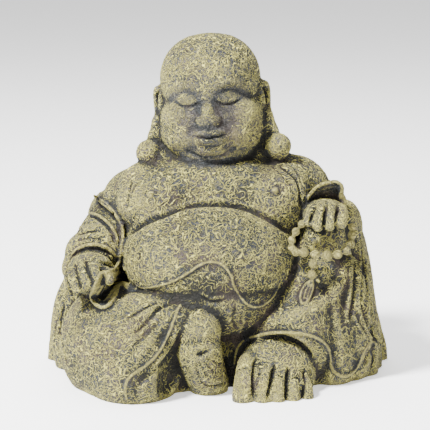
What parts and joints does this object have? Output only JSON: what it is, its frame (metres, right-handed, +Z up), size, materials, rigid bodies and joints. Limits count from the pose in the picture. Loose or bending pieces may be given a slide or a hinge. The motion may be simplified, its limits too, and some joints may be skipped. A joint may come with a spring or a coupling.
{
  "type": "seated budai garden figure",
  "caption": "Seated bald, bare-bellied garden figure with one knee raised, loose robe, sash end and prayer beads, cast in one piece with a stone finish.",
  "frame": {"origin": "on the flat underside, below the middle of the trunk", "axes": "+Z up, the figure looks along -Y, +X towards the raised knee"},
  "size_m": [0.3077, 0.2103, 0.298],
  "materials": {
    "stone": "matt stone-effect casting, dark recesses and pale dry-brushed highs"
  },
  "bodies": {
    "root": {"budai_casting": "stone"}
  },
  "joints": []
}
